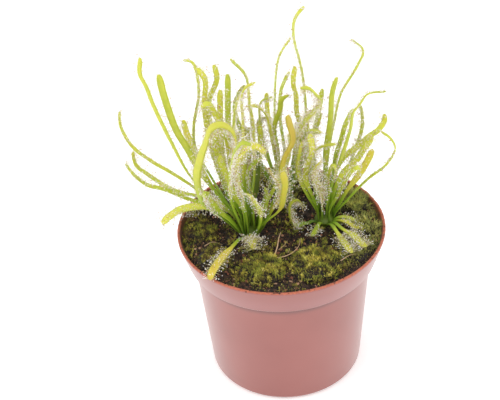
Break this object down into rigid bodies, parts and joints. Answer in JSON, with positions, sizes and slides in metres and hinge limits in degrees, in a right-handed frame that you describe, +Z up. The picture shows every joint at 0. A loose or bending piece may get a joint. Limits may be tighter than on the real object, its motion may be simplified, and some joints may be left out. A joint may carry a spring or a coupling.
{
  "type": "potted sundew",
  "caption": "Sticky strap-leaved sundew in a tapered nursery pot of growing mix with moss cushions, standing on its flat base.",
  "frame": {"origin": "centre of the flat disc under the pot's floor", "axes": "+Z up along the pot's axis, -Y towards the side seen first, +X to that viewer's right"},
  "size_m": [0.1148, 0.0954, 0.1553],
  "materials": {
    "terracotta_plastic": "matte moulded plastic, mauve terracotta, with a rough orange edge at the rim",
    "peat": "damp crumbly peat, nearly black brown",
    "moss": "dense short moss, olive to yellow green",
    "sundew_leaf": "smooth soft leaf, yellow green, set with clear sticky drops on pale hairs"
  },
  "bodies": {
    "root": {"pot": "terracotta_plastic", "growing_mix": "peat", "moss_front_right": "moss", "moss_front_left": "moss", "moss_right_front": "moss", "moss_right": "moss", "moss_right_rear": "moss", "moss_left_front": "moss", "moss_left": "moss", "moss_rear_left": "moss", "moss_rear": "moss", "moss_rear_right": "moss", "sundew_left": "sundew_leaf", "sundew_right": "sundew_leaf", "sundew_rear": "sundew_leaf"}
  },
  "joints": []
}
